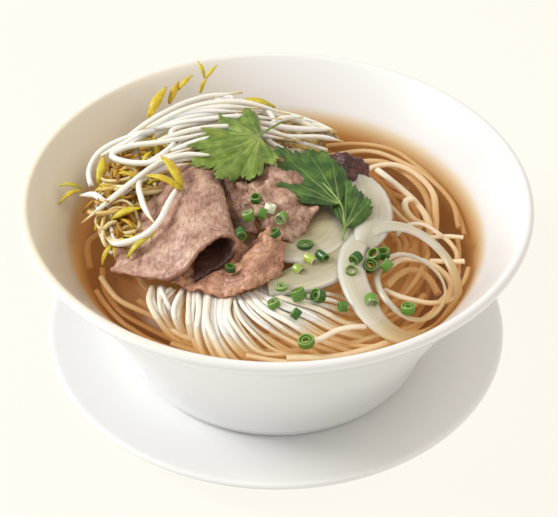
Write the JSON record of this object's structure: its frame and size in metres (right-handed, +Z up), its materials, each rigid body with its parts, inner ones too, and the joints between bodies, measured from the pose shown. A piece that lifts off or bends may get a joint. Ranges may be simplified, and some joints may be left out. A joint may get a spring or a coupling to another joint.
{
  "type": "pho noodle soup",
  "caption": "Flared white bowl of rice noodle soup with folded beef slices, onion, bean sprouts, scallion and coriander, on its saucer.",
  "frame": {"origin": "centre of the bounding box's lowest face: on the table, on the axis of the bowl and the saucer", "axes": "+Z up; the bean sprouts lie at the back left (-X, +Y), the onion rings at the front right (+X, -Y)"},
  "size_m": [0.22, 0.22, 0.0932],
  "materials": {
    "porcelain": "glossy white glaze",
    "broth": "clear amber broth, paler where it is thin at the wall",
    "rice_noodle": "moist, slightly translucent white",
    "beef": "moist cooked beef, fine grain, pinker at the edges",
    "onion": "moist and translucent",
    "bean_sprout": "moist white stems, yellow-green heads",
    "coriander": "fresh green leaf"
  },
  "bodies": {
    "root": {"saucer": "porcelain", "bowl": "porcelain", "broth": "broth", "noodles": "rice_noodle", "bean_sprouts": "bean_sprout", "beef_slice_large": "beef", "beef_slice_narrow": "beef", "beef_slice_back": "beef", "beef_slice_front": "beef", "beef_slice_right": "beef", "onion_slice_inner": "onion", "onion_slice_middle": "onion", "onion_slice_outer": "onion", "onion_ring_large": "onion", "onion_ring_small": "onion", "coriander_leaf_left": "coriander", "coriander_leaf_right": "coriander"}
  },
  "joints": []
}
